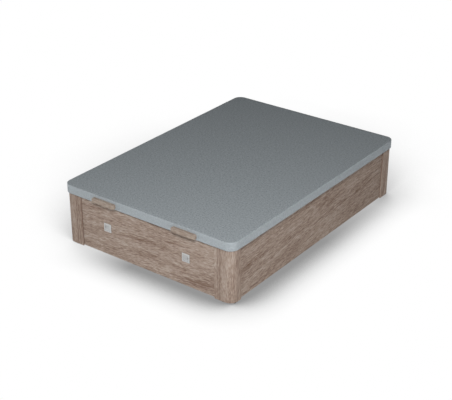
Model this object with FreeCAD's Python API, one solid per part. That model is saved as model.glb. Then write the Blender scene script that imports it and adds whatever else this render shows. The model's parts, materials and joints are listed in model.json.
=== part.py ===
import FreeCAD, Part
import math
import os
from FreeCAD import Vector

# Ottoman bed: a storage box of wooden panels between rounded corner posts, closed by an upholstered
# lid that is hinged at the head end and lifted by two gas struts. Millimetres.
# X runs across the bed, +Y towards the head, +Z up. The origin is on the floor, in the middle of the
# whole bed. Left and right are as seen from the foot end.

# Lid
LID_WIDTH = 1350.0
LID_LENGTH = 1900.0
LID_CORNER_RADIUS = 60.0
COVER_SKIN = 2.0
COVER_TOP_ROUND = 3.0
PAD_THICKNESS = 8.0
BOARD_THICKNESS = 7.0
RAIL_SIZE = 40.0
RAIL_WALL = 1.5
CROSS_RAIL_WIDTH = 30.0
CROSS_RAIL_COUNT = 3

# Handles on the foot end of the lid
HANDLE_LENGTH = 183.0
HANDLE_HEIGHT = 31.0
HANDLE_REACH = 20.0
HANDLE_CORNER = 8.0
HANDLE_EDGE = 2.0
HANDLE_SPACING = 640.0
HANDLE_RISE = 23.5
HANDLE_SCREW_SPACING = 110.0
HANDLE_SCREW_RADIUS = 2.5
HANDLE_SCREW_HEAD_RADIUS = 5.0
HANDLE_SCREW_HEAD_HEIGHT = 2.5
HANDLE_SCREW_BITE = 12.0

# Box
BASE_INSET = 7.0
PANEL_HEIGHT = 348.0
PANEL_THICKNESS = 22.0
PANEL_RECESS = 6.0
PANEL_EDGE = 1.5
POST_LONG_LEG = 133.0
POST_SHORT_LEG = 90.0
POST_CORNER_RADIUS = 56.0
POST_LIP = 40.0
POST_DROP = 5.0
MAIN_GROOVE_OFFSET = 41.0
MAIN_GROOVE_WIDTH = 5.0
MAIN_GROOVE_DEPTH = 3.5
FINE_GROOVE_OFFSET = 24.0
FINE_GROOVE_WIDTH = 3.0
FINE_GROOVE_DEPTH = 2.0
SIDE_GROOVE_OFFSET = 6.0
GLIDE_RADIUS = 10.0
GLIDE_THICKNESS = 5.0

# Corner brackets of bent steel
BRACKET_LONG = 110.0
BRACKET_SHORT = 80.0
BRACKET_HEIGHT = 50.0
BRACKET_THICKNESS = 2.5
BRACKET_GAP = 6.0
BRACKET_TOP_MARGIN = 40.0
BRACKET_SCREW_INSET = 15.0

# Wood screws
SCREW_RADIUS = 2.0
SCREW_HEAD_RADIUS = 4.0
SCREW_HEAD_HEIGHT = 2.0
SCREW_LENGTH = 16.0

# Floor of the box
CLEAT_WIDTH = 25.0
CLEAT_HEIGHT = 24.0
CLEAT_SCREW_LENGTH = 38.0
CLEAT_SCREW_COUNT = 4
BEARER_WIDTH = 60.0
BEARER_FOOT_RADIUS = 22.0
BEARER_FOOT_SPACING = 500.0
FLOOR_THICKNESS = 12.0
FLOOR_CLEARANCE = 1.0
FLOOR_BOARD_COUNT = 3

# Ventilation plates
VENT_COLLAR = 48.0
VENT_COLLAR_WALL = 1.5
VENT_FLANGE = 5.0
VENT_LAP = 1.5
VENT_PLATE = 3.0
VENT_CLEARANCE = 0.25
VENT_SPACING = 632.0
VENT_RISE = 194.0
GRILLE_THICKNESS = 2.0
SLOT_WIDTH = 1.2
SLOT_LENGTH = 32.0
SLOT_PITCH = 5.0
SLOT_COUNT = 6
FINGER_SLOT_WIDTH = 5.0
FINGER_SLOT_LENGTH = 18.0
FINGER_SLOT_GAP = 6.5

# Bumpers on the panel tops
BUMPER_RADIUS = 8.0
BUMPER_CLEARANCE = 0.3
BUMPER_INSET = 90.0

# Hinges at the head end
HINGE_COUNT = 3
HINGE_WIDTH = 100.0
HINGE_END_GAP = 53.0
HINGE_KNUCKLES = 5
HINGE_LEAF = 2.5
HINGE_BASE_DEPTH = 60.0
HINGE_LID_DEPTH = 40.0
HINGE_PIN_RADIUS = 3.0
HINGE_KNUCKLE_RADIUS = 5.0
HINGE_CLEARANCE = 0.5
HINGE_SWING_GAP = 0.3
HINGE_SCREW_SPACING = 70.0
HINGE_SCREW_RISES = (12.0, 36.0)
HINGE_LID_SCREW_LENGTH = 8.0
RUNNING_CLEARANCE = 0.05

# Gas struts
OPEN_ANGLE = 40.0
STRUT_SPREAD = 54.0
STRUT_PIVOT_RISE = 19.0
STRUT_LID_DROP = 22.0
STRUT_INSET = 25.0
STRUT_TUBE_RADIUS = 11.0
STRUT_TUBE_WALL = 1.5
STRUT_CAP = 5.0
STRUT_ROD_RADIUS = 5.0
STRUT_GLAND = 11.0
STRUT_PISTON = 8.0
STRUT_PISTON_CLEARANCE = 0.1
STRUT_STOP_GAP = 1.0
EYE_RADIUS = 10.0
EYE_WIDTH = 12.0
EYE_NECK = 16.0
EYE_NECK_STEP = 0.5
EYE_SIDE_GAP = 0.2
PIVOT_BOLT_RADIUS = 4.0
PIVOT_HEAD_RADIUS = 7.0
PIVOT_HEAD_HEIGHT = 3.0
PIVOT_BOSS_RADIUS = 7.0
STRUT_PLATE = 3.0
BASE_PLATE_WIDTH = 70.0
BASE_PLATE_RISE = 60.0
BASE_SCREW_RISES = (26.0, 46.0)
LID_PLATE_WIDTH = 60.0
PLATE_MARGIN = 14.0
PLATE_BOLT_SPACING = 36.0
PLATE_BOLT_RADIUS = 3.0
PLATE_BOLT_HEAD_RADIUS = 5.0
PLATE_BOLT_HEAD_HEIGHT = 4.0
PLATE_BOLT_REACH = 5.0

X_AXIS = Vector(1, 0, 0)
Y_AXIS = Vector(0, 1, 0)
Z_AXIS = Vector(0, 0, 1)
ORIGIN = Vector(0, 0, 0)

# Plan places that follow from the sizes: the handles stand out in front, so the lid sits half of
# their reach behind the middle of the whole bed.
lid_middle = HANDLE_REACH / 2
lid_foot = lid_middle - LID_LENGTH / 2
lid_head = lid_middle + LID_LENGTH / 2
lid_side = LID_WIDTH / 2
post_side = lid_side - BASE_INSET
post_foot = lid_foot + BASE_INSET
post_head = lid_head - BASE_INSET
panel_depth = PANEL_RECESS + PANEL_THICKNESS
inner_side = post_side - panel_depth
inner_foot = post_foot + panel_depth
inner_head = post_head - panel_depth
long_shoulder = POST_LONG_LEG - POST_LIP
short_shoulder = POST_SHORT_LEG - POST_LIP

# Heights that follow from the sizes
panel_bottom = GLIDE_THICKNESS + POST_DROP
panel_top = panel_bottom + PANEL_HEIGHT
cleat_top = panel_bottom + CLEAT_HEIGHT
floor_top = cleat_top + FLOOR_THICKNESS
lid_bottom = panel_top + HINGE_LEAF + HINGE_CLEARANCE
rail_bottom = lid_bottom + COVER_SKIN
rail_top = rail_bottom + RAIL_SIZE
board_top = rail_top + BOARD_THICKNESS
pad_top = board_top + PAD_THICKNESS
lid_top = pad_top + COVER_SKIN

# Inside of the cover, which the pad, the board and the rails fill
frame_side = lid_side - COVER_SKIN
frame_foot = lid_foot + COVER_SKIN
frame_head = lid_head - COVER_SKIN
frame_radius = LID_CORNER_RADIUS - COVER_SKIN
rail_side = frame_side - RAIL_SIZE
rail_foot = frame_foot + RAIL_SIZE
rail_head = frame_head - RAIL_SIZE

# Hinge line, behind the head panel and under the lid's overhang
hinge_y = post_head - PANEL_RECESS + HINGE_KNUCKLE_RADIUS
hinge_z = lid_bottom - HINGE_CLEARANCE - HINGE_KNUCKLE_RADIUS

# Strut pivots: both lie at one distance from the hinge line, so the strut turns by half the lid's
# angle and its rod stays in line with its cylinder.
strut_x = inner_side - STRUT_INSET
base_pivot_height = floor_top + STRUT_PIVOT_RISE
base_pivot_drop = hinge_z - base_pivot_height
spread_angle = math.radians(STRUT_SPREAD)
lid_pivot_reach = (base_pivot_drop - STRUT_LID_DROP * math.cos(spread_angle)) / math.sin(spread_angle)
strut_lever = math.hypot(lid_pivot_reach, STRUT_LID_DROP)
base_pivot_reach = math.sqrt(strut_lever ** 2 - base_pivot_drop ** 2)
base_pivot = Vector(strut_x, hinge_y - base_pivot_reach, base_pivot_height)
lid_pivot = Vector(strut_x, hinge_y - lid_pivot_reach, hinge_z - STRUT_LID_DROP)
closed_length = 2 * strut_lever * math.sin(spread_angle / 2)
open_length = 2 * strut_lever * math.sin((spread_angle + math.radians(OPEN_ANGLE)) / 2)
stroke = open_length - closed_length
strut_direction = (lid_pivot - base_pivot).normalize()


def box(x0, x1, y0, y1, z0, z1):
    return Part.makeBox(x1 - x0, y1 - y0, z1 - z0, Vector(x0, y0, z0))


def rounded_slab(x0, x1, y0, y1, radius, z0, z1):
    """A plate with four round corners in plan."""
    corners = [(x1 - radius, y0 + radius, 270), (x1 - radius, y1 - radius, 0),
               (x0 + radius, y1 - radius, 90), (x0 + radius, y0 + radius, 180)]
    arcs = [Part.makeCircle(radius, Vector(x, y, z0), Z_AXIS, start, start + 90) for x, y, start in corners]
    edges = []
    for arc, following in zip(arcs, arcs[1:] + arcs[:1]):
        edges.append(arc)
        start = arc.lastVertex().Point
        end = following.firstVertex().Point
        if not near(start.distanceToPoint(end), 0):
            edges.append(Part.makeLine(start, end))
    face = Part.Face(Part.Wire(Part.__sortEdges__(edges)))
    return face.extrude(Z_AXIS * (z1 - z0))


def facing_foot(shape, x, y, z):
    """Stands a plate that was drawn lying down, so that its thickness points to the foot end."""
    shape.rotate(ORIGIN, X_AXIS, 90)
    shape.translate(Vector(x, y, z))
    return shape


def edges_at(shape, test):
    """Edges whose every end satisfies a test."""
    return [edge for edge in shape.Edges if all(test(vertex.Point) for vertex in edge.Vertexes)]


def near(a, b):
    return abs(a - b) < 1e-6


def mirrored(shape):
    """The same piece on the other side of the bed."""
    return shape.mirror(ORIGIN, X_AXIS)


def both_sides(shapes):
    return list(shapes) + [mirrored(shape) for shape in shapes]


def wood_screw(point, direction, length):
    """A countersunk screw whose head lies flush at the point."""
    head = Part.makeCone(SCREW_HEAD_RADIUS, SCREW_RADIUS, SCREW_HEAD_HEIGHT, point, direction)
    neck = point + direction * SCREW_HEAD_HEIGHT
    shank = Part.makeCylinder(SCREW_RADIUS, length - SCREW_HEAD_HEIGHT, neck, direction)
    return head.fuse(shank).removeSplitter()


def headed_bolt(point, direction, radius, length, head_radius, head_height):
    """A bolt with a flat round head standing behind the point."""
    shank = Part.makeCylinder(radius, length, point, direction)
    head = Part.makeCylinder(head_radius, head_height, point - direction * head_height, direction)
    return head.fuse(shank).removeSplitter()


def spread(count, first, last):
    """Evenly spaced places from first to last."""
    step = (last - first) / (count - 1)
    return [first + step * i for i in range(count)]


# Corner posts


def groove(middle, width, depth):
    """A V-shaped groove in a face, in plan: (along the face, into it)."""
    return [(middle - width / 2, 0), (middle, depth), (middle + width / 2, 0)]


def post_outline():
    """Plan outline of a post: (along the long leg, along the short leg) from the outer corner."""
    outline = [(POST_CORNER_RADIUS, 0)]
    outline += groove(POST_LONG_LEG - MAIN_GROOVE_OFFSET, MAIN_GROOVE_WIDTH, MAIN_GROOVE_DEPTH)
    outline += groove(POST_LONG_LEG - FINE_GROOVE_OFFSET, FINE_GROOVE_WIDTH, FINE_GROOVE_DEPTH)
    outline += [(POST_LONG_LEG - PANEL_EDGE, 0), (POST_LONG_LEG, PANEL_EDGE)]
    outline += [(POST_LONG_LEG, PANEL_RECESS), (long_shoulder, PANEL_RECESS), (long_shoulder, panel_depth)]
    outline += [(panel_depth, panel_depth), (panel_depth, short_shoulder), (PANEL_RECESS, short_shoulder)]
    outline += [(PANEL_RECESS, POST_SHORT_LEG), (PANEL_EDGE, POST_SHORT_LEG)]
    outline += [(0, POST_SHORT_LEG - PANEL_EDGE)]
    side_groove = groove(POST_SHORT_LEG - SIDE_GROOVE_OFFSET, FINE_GROOVE_WIDTH, FINE_GROOVE_DEPTH)
    outline += [(v, u) for u, v in reversed(side_groove)]
    return outline + [(0, POST_CORNER_RADIUS)]


def corner_post(corner, along_long, along_short):
    def place(u, v):
        return corner + along_long * u + along_short * v

    points = [place(u, v) for u, v in post_outline()]
    edges = [Part.makeLine(a, b) for a, b in zip(points, points[1:])]
    bulge = POST_CORNER_RADIUS * (1 - math.sqrt(0.5))
    edges.append(Part.Arc(points[-1], place(bulge, bulge), points[0]).toShape())
    face = Part.Face(Part.Wire(edges))
    return face.extrude(Z_AXIS * (POST_DROP + PANEL_HEIGHT))


def right_corners():
    """Right-hand outer corners with the directions of their long and short legs."""
    foot = (Vector(post_side, post_foot, GLIDE_THICKNESS), Vector(-1, 0, 0), Vector(0, 1, 0))
    head = (Vector(post_side, post_head, GLIDE_THICKNESS), Vector(0, -1, 0), Vector(-1, 0, 0))
    return [foot, head]


def post_glides():
    pads = []
    on_long = ((POST_CORNER_RADIUS + long_shoulder) / 2, panel_depth / 2)
    on_short = (panel_depth / 2, short_shoulder - GLIDE_RADIUS)
    for corner, along_long, along_short in right_corners():
        for u, v in (on_long, on_short):
            place = corner + along_long * u + along_short * v
            pads.append(Part.makeCylinder(GLIDE_RADIUS, GLIDE_THICKNESS, place - Z_AXIS * GLIDE_THICKNESS))
    return both_sides(pads)


# Corner brackets


def bracket_heights():
    """One bracket above the plates that carry the struts, one near the top."""
    low = base_plate_top + BRACKET_GAP
    high = panel_top - BRACKET_TOP_MARGIN - BRACKET_HEIGHT
    return [low, high]


def corner_bracket(corner, along_long, along_short, z):
    """A bent steel angle in the inner corner that ties a post to its two panels."""
    inner = corner + (along_long + along_short) * panel_depth
    inner.z = z
    thick = BRACKET_THICKNESS
    outline = [(0, 0), (BRACKET_LONG, 0), (BRACKET_LONG, thick), (thick, thick),
               (thick, BRACKET_SHORT), (0, BRACKET_SHORT), (0, 0)]
    wire = Part.makePolygon([inner + along_long * u + along_short * v for u, v in outline])
    return Part.Face(wire).extrude(Z_AXIS * BRACKET_HEIGHT)


def bracket_screws(corner, along_long, along_short, z):
    inner = corner + (along_long + along_short) * panel_depth
    screws = []
    long_spots = [long_shoulder - panel_depth - BRACKET_SCREW_INSET, BRACKET_LONG - BRACKET_SCREW_INSET]
    post_middle = (short_shoulder - panel_depth + BRACKET_THICKNESS) / 2
    short_spots = [post_middle, BRACKET_SHORT - BRACKET_SCREW_INSET]
    heights = [z + BRACKET_SCREW_INSET, z + BRACKET_HEIGHT - BRACKET_SCREW_INSET]
    for u, height in zip(long_spots, heights):
        point = inner + along_long * u + along_short * BRACKET_THICKNESS
        point.z = height
        screws.append(wood_screw(point, along_short * -1, SCREW_LENGTH))
    for v, height in zip(short_spots, reversed(heights)):
        point = inner + along_short * v + along_long * BRACKET_THICKNESS
        point.z = height
        screws.append(wood_screw(point, along_long * -1, SCREW_LENGTH))
    return screws


# Panels


def foot_panel():
    end = post_side - long_shoulder
    front = post_foot + PANEL_RECESS
    panel = box(-end, end, front, inner_foot, panel_bottom, panel_top)
    lower = edges_at(panel, lambda p: near(p.y, front) and near(p.z, panel_bottom))
    panel = panel.makeFillet(PANEL_EDGE, lower)
    hole = VENT_COLLAR / 2 + VENT_CLEARANCE
    for x in vent_places():
        z = panel_bottom + VENT_RISE
        panel = panel.cut(box(x - hole, x + hole, front, inner_foot, z - hole, z + hole))
    return panel


def head_panel():
    end = post_side - short_shoulder
    back = post_head - PANEL_RECESS
    panel = box(-end, end, inner_head, back, panel_bottom, panel_top)
    lower = edges_at(panel, lambda p: near(p.y, back) and near(p.z, panel_bottom))
    return panel.makeFillet(PANEL_EDGE, lower)


def right_side_panel():
    side = post_side - PANEL_RECESS
    start = post_foot + short_shoulder
    end = post_head - long_shoulder
    panel = box(inner_side, side, start, end, panel_bottom, panel_top)
    lower = edges_at(panel, lambda p: near(p.x, side) and near(p.z, panel_bottom))
    return panel.makeFillet(PANEL_EDGE, lower)


def bumpers():
    thickness = lid_bottom - panel_top - BUMPER_CLEARANCE
    foot_middle = inner_foot - PANEL_THICKNESS / 2
    side_middle = inner_side + PANEL_THICKNESS / 2
    places = [Vector(post_side - POST_LONG_LEG - BUMPER_INSET, foot_middle, panel_top),
              Vector(side_middle, post_foot + POST_SHORT_LEG + BUMPER_INSET, panel_top),
              Vector(side_middle, post_head - POST_LONG_LEG - BUMPER_INSET, panel_top)]
    return both_sides([Part.makeCylinder(BUMPER_RADIUS, thickness, place) for place in places])


# Floor of the box


def side_cleat():
    return box(inner_side - CLEAT_WIDTH, inner_side, inner_foot, inner_head, panel_bottom, cleat_top)


def end_cleat(y0, y1):
    end = inner_side - CLEAT_WIDTH
    return box(-end, end, y0, y1, panel_bottom, cleat_top)


def cleat_screws():
    """Screws through the cleats into the panels."""
    z = panel_bottom + CLEAT_HEIGHT / 2
    margin = POST_LONG_LEG + CLEAT_WIDTH
    along = spread(CLEAT_SCREW_COUNT, post_foot + margin, post_head - margin)
    across = spread(CLEAT_SCREW_COUNT, -post_side + margin, post_side - margin)
    length = CLEAT_SCREW_LENGTH
    side = [wood_screw(Vector(inner_side - CLEAT_WIDTH, y, z), X_AXIS, length) for y in along]
    foot = [wood_screw(Vector(x, inner_foot + CLEAT_WIDTH, z), Y_AXIS * -1, length) for x in across]
    head = [wood_screw(Vector(x, inner_head - CLEAT_WIDTH, z), Y_AXIS, length) for x in across]
    return both_sides(side) + foot + head


def floor_seams():
    """Places along the bed where the floor boards meet, with the two ends."""
    return spread(FLOOR_BOARD_COUNT + 1, inner_foot, inner_head)


def floor_board(start, end):
    edge = inner_side - FLOOR_CLEARANCE
    half = FLOOR_CLEARANCE / 2
    return box(-edge, edge, start + half, end - half, cleat_top, floor_top)


def bearer(y):
    end = inner_side - CLEAT_WIDTH
    return box(-end, end, y - BEARER_WIDTH / 2, y + BEARER_WIDTH / 2, panel_bottom, cleat_top)


def bearer_feet():
    half = BEARER_FOOT_SPACING / 2
    places = [Vector(half, y, 0) for y in floor_seams()[1:-1]]
    return both_sides([Part.makeCylinder(BEARER_FOOT_RADIUS, panel_bottom, place) for place in places])


# Ventilation plates


def vent_places():
    return [-VENT_SPACING / 2, VENT_SPACING / 2]


def square_tube(outer, inner, depth):
    """A square ring that stands on the drawing plane."""
    half = outer / 2
    hole = inner / 2
    return box(-half, half, -half, half, 0, depth).cut(box(-hole, hole, -hole, hole, 0, depth))


def vent_frame(x):
    """A raised square border with a collar that lines the hole in the foot panel."""
    size = VENT_COLLAR + 2 * VENT_FLANGE
    bore = VENT_COLLAR - 2 * VENT_COLLAR_WALL
    border = square_tube(size, bore - 2 * VENT_LAP, VENT_PLATE)
    front = edges_at(border, lambda p: near(p.z, VENT_PLATE) and near(max(abs(p.x), abs(p.y)), size / 2))
    border = border.makeFillet(VENT_PLATE / 2, front)
    collar = square_tube(VENT_COLLAR, bore, PANEL_THICKNESS)
    collar.translate(Z_AXIS * -PANEL_THICKNESS)
    frame = border.fuse(collar).removeSplitter()
    return facing_foot(frame, x, post_foot + PANEL_RECESS, panel_bottom + VENT_RISE)


def upright_slot(x, width, length):
    half = width / 2
    return rounded_slab(x - half, x + half, -length / 2, length / 2, half, -GRILLE_THICKNESS, 0)


def right_vent_grille(x):
    """A slotted plate held in the collar, behind the border, with a wider finger slot on its outer side."""
    half = VENT_COLLAR / 2 - VENT_COLLAR_WALL
    plate = box(-half, half, -half, half, -GRILLE_THICKNESS, 0)
    finger = half - FINGER_SLOT_GAP
    last = finger - SLOT_PITCH
    first = last - SLOT_PITCH * (SLOT_COUNT - 1)
    slots = [upright_slot(s, SLOT_WIDTH, SLOT_LENGTH) for s in spread(SLOT_COUNT, first, last)]
    plate = plate.cut(slots + [upright_slot(finger, FINGER_SLOT_WIDTH, FINGER_SLOT_LENGTH)])
    return facing_foot(plate, x, post_foot + PANEL_RECESS, panel_bottom + VENT_RISE)


# Lid


def lid_cover():
    """The fabric skin: top, rim and a hem that turns in under the rails."""
    outer = rounded_slab(-lid_side, lid_side, lid_foot, lid_head, LID_CORNER_RADIUS, lid_bottom, lid_top)
    outer = outer.makeFillet(COVER_TOP_ROUND, edges_at(outer, lambda p: near(p.z, lid_top)))
    inner = rounded_slab(-frame_side, frame_side, frame_foot, frame_head, frame_radius, rail_bottom, pad_top)
    mouth_radius = frame_radius - RAIL_SIZE
    mouth = rounded_slab(-rail_side, rail_side, rail_foot, rail_head, mouth_radius, lid_bottom, rail_bottom)
    return outer.cut([inner, mouth])


def lid_layer(z0, z1):
    return rounded_slab(-frame_side, frame_side, frame_foot, frame_head, frame_radius, z0, z1)


def tube(x0, x1, y0, y1, along_x):
    """A straight square tube of the lid frame, open at its ends."""
    solid = box(x0, x1, y0, y1, rail_bottom, rail_top)
    wall_x = 0 if along_x else RAIL_WALL
    wall_y = RAIL_WALL if along_x else 0
    return solid.cut(box(x0 + wall_x, x1 - wall_x, y0 + wall_y, y1 - wall_y,
                         rail_bottom + RAIL_WALL, rail_top - RAIL_WALL))


def right_rail():
    return tube(rail_side, frame_side, frame_foot + frame_radius, frame_head - frame_radius, False)


def end_rail(y0, y1):
    end = frame_side - frame_radius
    return tube(-end, end, y0, y1, True)


def bent_corner(y, start):
    """A quarter bend of the tube, round a vertical axis."""
    centre = Vector(frame_side - frame_radius, y, 0)

    def quarter(outer, inner, z0, z1):
        at = centre + Z_AXIS * z0
        disc = Part.makeCylinder(outer, z1 - z0, at, Z_AXIS, 90)
        hole = Part.makeCylinder(inner, z1 - z0, at, Z_AXIS, 90)
        ring = disc.cut(hole)
        ring.rotate(at, Z_AXIS, start)
        return ring

    inner_radius = frame_radius - RAIL_SIZE
    solid = quarter(frame_radius, inner_radius, rail_bottom, rail_top)
    hollow = quarter(frame_radius - RAIL_WALL, inner_radius + RAIL_WALL,
                     rail_bottom + RAIL_WALL, rail_top - RAIL_WALL)
    return solid.cut(hollow)


def rail_corners():
    foot = bent_corner(frame_foot + frame_radius, 270)
    head = bent_corner(frame_head - frame_radius, 0)
    return both_sides([foot, head])


def cross_rails():
    places = spread(CROSS_RAIL_COUNT + 2, rail_foot, rail_head)[1:-1]
    half = CROSS_RAIL_WIDTH / 2
    return [tube(-rail_side, rail_side, y - half, y + half, True) for y in places]


def handle_places():
    return [-HANDLE_SPACING / 2, HANDLE_SPACING / 2]


def handle(x):
    """A wooden bar with round corners, screwed to the lid's rim."""
    long = HANDLE_LENGTH / 2
    tall = HANDLE_HEIGHT / 2
    bar = rounded_slab(-long, long, -tall, tall, HANDLE_CORNER, 0, HANDLE_REACH)
    bar = bar.makeFillet(HANDLE_EDGE, edges_at(bar, lambda p: near(p.z, HANDLE_REACH)))
    return facing_foot(bar, x, lid_foot, lid_bottom + HANDLE_RISE)


def handle_screws():
    """Bolts through the foot rail and the cover into the handles."""
    length = rail_foot - lid_foot + HANDLE_SCREW_BITE
    half = HANDLE_SCREW_SPACING / 2
    bolts = []
    for x in handle_places():
        for side in (-half, half):
            point = Vector(x + side, rail_foot, lid_bottom + HANDLE_RISE)
            bolts.append(headed_bolt(point, Y_AXIS * -1, HANDLE_SCREW_RADIUS, length,
                                     HANDLE_SCREW_HEAD_RADIUS, HANDLE_SCREW_HEAD_HEIGHT))
    return bolts


# Hinges


def hinge_places():
    outer = post_side - POST_SHORT_LEG - HINGE_END_GAP - HINGE_WIDTH / 2
    return spread(HINGE_COUNT, -outer, outer)


def knuckle_spans(x, first):
    """Every second knuckle along one hinge, with a small gap at each end."""
    pitch = HINGE_WIDTH / HINGE_KNUCKLES
    gap = HINGE_CLEARANCE / 2
    starts = [x - HINGE_WIDTH / 2 + pitch * i for i in range(first, HINGE_KNUCKLES, 2)]
    return [(start + gap, start + pitch - gap) for start in starts]


def round_on_hinge_line(radius, x0, x1):
    return Part.makeCylinder(radius, x1 - x0, Vector(x0, hinge_y, hinge_z), X_AXIS)


def hinge_leaf(plate, spans, tab, radius, bore):
    """A leaf: its plate, a tab to each knuckle and the knuckles, bored for the pin."""
    knuckles = [round_on_hinge_line(radius, x0, x1) for x0, x1 in spans]
    bores = [round_on_hinge_line(bore, x0, x1) for x0, x1 in spans]
    tabs = [tab(x0, x1) for x0, x1 in spans]
    return plate.fuse(tabs + knuckles).cut(bores).removeSplitter()


def base_leaf(x):
    back = post_head - PANEL_RECESS
    half = HINGE_WIDTH / 2
    shoulder = hinge_z - HINGE_KNUCKLE_RADIUS - HINGE_CLEARANCE
    plate = box(x - half, x + half, back, back + HINGE_LEAF, hinge_z - HINGE_BASE_DEPTH, shoulder)
    return hinge_leaf(plate, knuckle_spans(x, 0),
                      lambda x0, x1: box(x0, x1, back, back + HINGE_LEAF, shoulder, hinge_z),
                      HINGE_KNUCKLE_RADIUS, HINGE_PIN_RADIUS)


def lid_leaf(x):
    half = HINGE_WIDTH / 2
    shoulder = hinge_y - HINGE_KNUCKLE_RADIUS - HINGE_CLEARANCE
    low = lid_bottom - HINGE_LEAF
    plate = box(x - half, x + half, hinge_y - HINGE_LID_DEPTH, shoulder, low, lid_bottom)
    return hinge_leaf(plate, knuckle_spans(x, 1),
                      lambda x0, x1: box(x0, x1, shoulder, hinge_y, low, lid_bottom),
                      HINGE_KNUCKLE_RADIUS - HINGE_SWING_GAP, HINGE_PIN_RADIUS + RUNNING_CLEARANCE)


def hinge_pins():
    half = HINGE_WIDTH / 2
    return [round_on_hinge_line(HINGE_PIN_RADIUS, x - half, x + half) for x in hinge_places()]


def hinge_base_screws():
    half = HINGE_SCREW_SPACING / 2
    surface = post_head - PANEL_RECESS + HINGE_LEAF
    heights = [hinge_z - HINGE_BASE_DEPTH + rise for rise in HINGE_SCREW_RISES]
    return [wood_screw(Vector(x + side, surface, z), Y_AXIS * -1, SCREW_LENGTH)
            for x in hinge_places() for side in (-half, half) for z in heights]


def hinge_lid_screws():
    """Screws up through the leaf and the hem into the wall of the head rail."""
    half = HINGE_SCREW_SPACING / 2
    y = (rail_head + hinge_y - HINGE_KNUCKLE_RADIUS) / 2
    return [wood_screw(Vector(x + side, y, lid_bottom - HINGE_LEAF), Z_AXIS, HINGE_LID_SCREW_LENGTH)
            for x in hinge_places() for side in (-half, 0, half)]


# Gas struts, drawn on the right side


def along_strut(distance):
    return base_pivot + strut_direction * distance


def strut_rod_piece(radius, start, end):
    return Part.makeCylinder(radius, end - start, along_strut(start), strut_direction)


def strut_eye(pivot):
    side = Vector(EYE_WIDTH / 2, 0, 0)
    return Part.makeCylinder(EYE_RADIUS, EYE_WIDTH, pivot - side, X_AXIS)


def eye_bore(pivot):
    side = Vector(EYE_WIDTH / 2, 0, 0)
    return Part.makeCylinder(PIVOT_BOLT_RADIUS + RUNNING_CLEARANCE, EYE_WIDTH, pivot - side, X_AXIS)


eye_neck_radius = EYE_WIDTH / 2 - EYE_NECK_STEP
tube_end = closed_length - EYE_NECK - STRUT_CAP
gland_start = tube_end - STRUT_GLAND
piston_top = gland_start - stroke - STRUT_STOP_GAP
tube_bore = STRUT_TUBE_RADIUS - STRUT_TUBE_WALL


def strut_cylinder():
    """A closed tube with an eye at its lower end."""
    neck = strut_rod_piece(eye_neck_radius, 0, EYE_NECK)
    barrel = strut_rod_piece(STRUT_TUBE_RADIUS, EYE_NECK, tube_end)
    hollow = strut_rod_piece(tube_bore, EYE_NECK + STRUT_CAP, tube_end)
    return strut_eye(base_pivot).fuse([neck, barrel]).cut([hollow, eye_bore(base_pivot)]).removeSplitter()


def strut_gland():
    """The plug that guides the rod at the mouth of the tube."""
    plug = strut_rod_piece(tube_bore, gland_start, tube_end)
    return plug.cut(strut_rod_piece(STRUT_ROD_RADIUS + RUNNING_CLEARANCE, gland_start, tube_end))


def strut_rod():
    """The rod with an eye at its upper end."""
    rod = strut_rod_piece(STRUT_ROD_RADIUS, piston_top, closed_length)
    neck = strut_rod_piece(eye_neck_radius, closed_length - EYE_NECK, closed_length)
    return strut_eye(lid_pivot).fuse([rod, neck]).cut(eye_bore(lid_pivot)).removeSplitter()


def strut_piston():
    return strut_rod_piece(tube_bore - STRUT_PISTON_CLEARANCE, piston_top - STRUT_PISTON, piston_top)


eye_outside = strut_x + EYE_WIDTH / 2 + EYE_SIDE_GAP
eye_inside = strut_x - EYE_WIDTH / 2 - EYE_SIDE_GAP


def pivot_boss(pivot, surface):
    start = Vector(eye_outside, pivot.y, pivot.z)
    return Part.makeCylinder(PIVOT_BOSS_RADIUS, surface - eye_outside, start, X_AXIS)


def pivot_bolt(pivot, surface):
    point = Vector(eye_inside, pivot.y, pivot.z)
    return headed_bolt(point, X_AXIS, PIVOT_BOLT_RADIUS, surface - eye_inside,
                       PIVOT_HEAD_RADIUS, PIVOT_HEAD_HEIGHT)


base_plate_top = base_pivot.z + BASE_PLATE_RISE
lid_plate_side = rail_side
lid_bolt_height = (rail_bottom + rail_top) / 2


def strut_base_bracket():
    """A plate on the side panel with a boss for the lower pivot."""
    half = BASE_PLATE_WIDTH / 2
    inside = inner_side - STRUT_PLATE
    plate = box(inside, inner_side, base_pivot.y - half, base_pivot.y + half,
                base_pivot.z - PLATE_MARGIN, base_plate_top)
    bracket = plate.fuse(pivot_boss(base_pivot, inside))
    return bracket.cut([base_pivot_bolt()] + right_base_bracket_screws()).removeSplitter()


def right_base_bracket_screws():
    half = PLATE_BOLT_SPACING / 2
    heights = [base_pivot.z + rise for rise in BASE_SCREW_RISES]
    return [wood_screw(Vector(inner_side - STRUT_PLATE, base_pivot.y + side, z), X_AXIS, SCREW_LENGTH)
            for side in (-half, half) for z in heights]


def base_pivot_bolt():
    return pivot_bolt(base_pivot, inner_side)


def strut_lid_bracket():
    """A plate on the side rail that hangs into the box, with a boss for the upper pivot."""
    half = LID_PLATE_WIDTH / 2
    inside = lid_plate_side - STRUT_PLATE
    plate = box(inside, lid_plate_side, lid_pivot.y - half, lid_pivot.y + half,
                lid_pivot.z - PLATE_MARGIN, lid_bolt_height + PLATE_MARGIN)
    bracket = plate.fuse(pivot_boss(lid_pivot, inside))
    return bracket.cut([lid_pivot_bolt()] + right_lid_bracket_bolts()).removeSplitter()


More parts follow.
